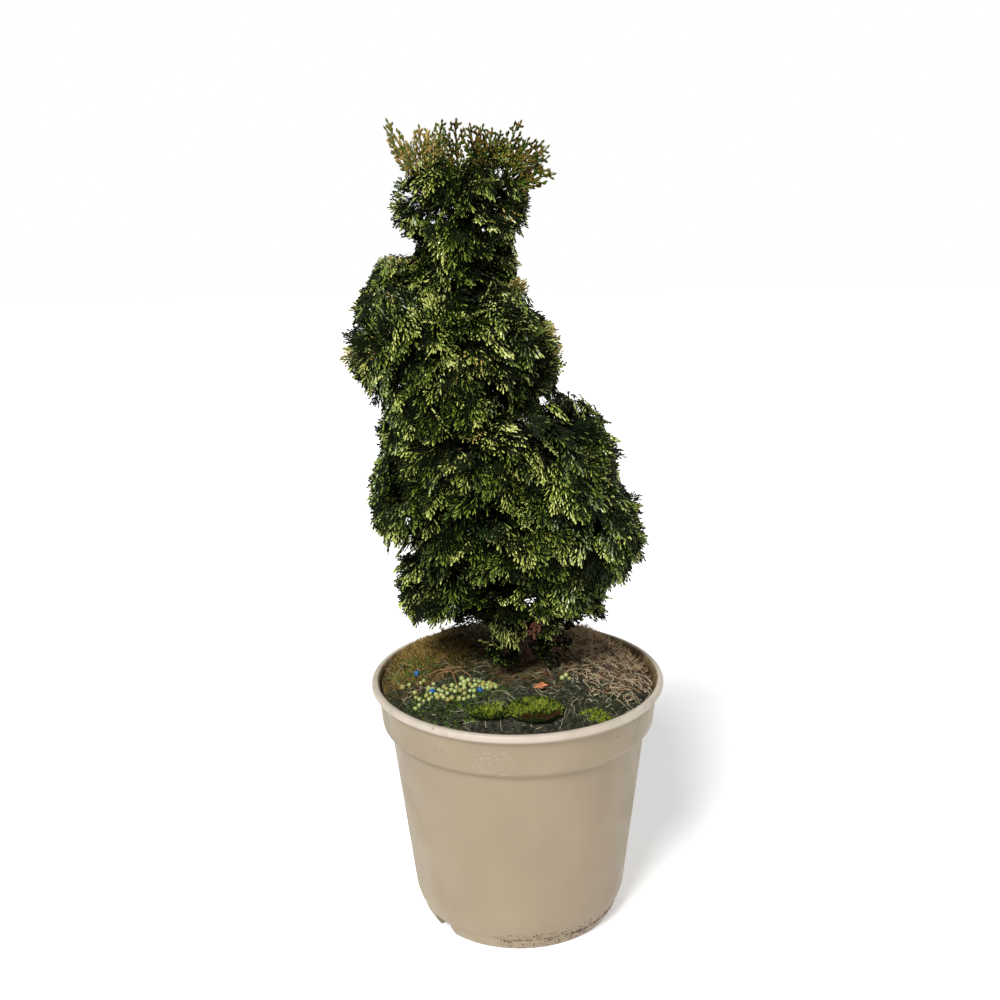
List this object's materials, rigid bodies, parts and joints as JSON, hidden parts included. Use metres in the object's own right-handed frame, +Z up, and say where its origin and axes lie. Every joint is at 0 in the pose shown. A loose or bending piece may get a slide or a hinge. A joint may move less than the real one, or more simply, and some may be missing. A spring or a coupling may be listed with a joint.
{
  "type": "potted spiral topiary",
  "caption": "Dwarf false cypress clipped to a loose spiral with an open tuft on top, rooted in a round plastic nursery pot with moss on the soil.",
  "frame": {"origin": "middle of the pot's flat underside", "axes": "+Z up along the pot's axis, -Y to the front, -X to the plant's left, where its spiral leans"},
  "size_m": [0.2956, 0.28, 0.761],
  "materials": {
    "pot_plastic": "satin",
    "earth": "matte",
    "moss": "matte",
    "bark": "matte",
    "foliage": "matte"
  },
  "bodies": {
    "root": {"pot": "pot_plastic", "soil": "earth", "moss_cushion": "moss", "moss_patch": "moss", "trunk": "bark", "bough_turn1_left": "bark", "bough_turn1_front": "bark", "bough_turn1_right": "bark", "bough_turn1_back": "bark", "bough_turn2_left": "bark", "bough_turn2_front": "bark", "bough_turn2_right": "bark", "bough_turn2_back": "bark", "bough_turn3_left": "bark", "bough_turn3_front": "bark", "bough_turn3_right": "bark", "bough_turn3_back": "bark", "bough_turn4_left": "bark", "bough_turn4_front": "bark", "bough_turn4_right": "bark", "bough_turn4_back": "bark", "turn1_left": "foliage", "turn1_front": "foliage", "turn1_right": "foliage", "turn1_back": "foliage", "turn2_left": "foliage", "turn2_front": "foliage", "turn2_right": "foliage", "turn2_back": "foliage", "turn3_left": "foliage", "turn3_front": "foliage", "turn3_right": "foliage", "turn3_back": "foliage", "turn4_left": "foliage", "turn4_front": "foliage", "turn4_right": "foliage", "turn4_back": "foliage", "head_left": "foliage", "head_right": "foliage", "head_back": "foliage", "head_front": "foliage", "neck_left": "foliage", "neck_right": "foliage", "foot_sprig_left": "foliage", "foot_sprig_right": "foliage"}
  },
  "joints": []
}
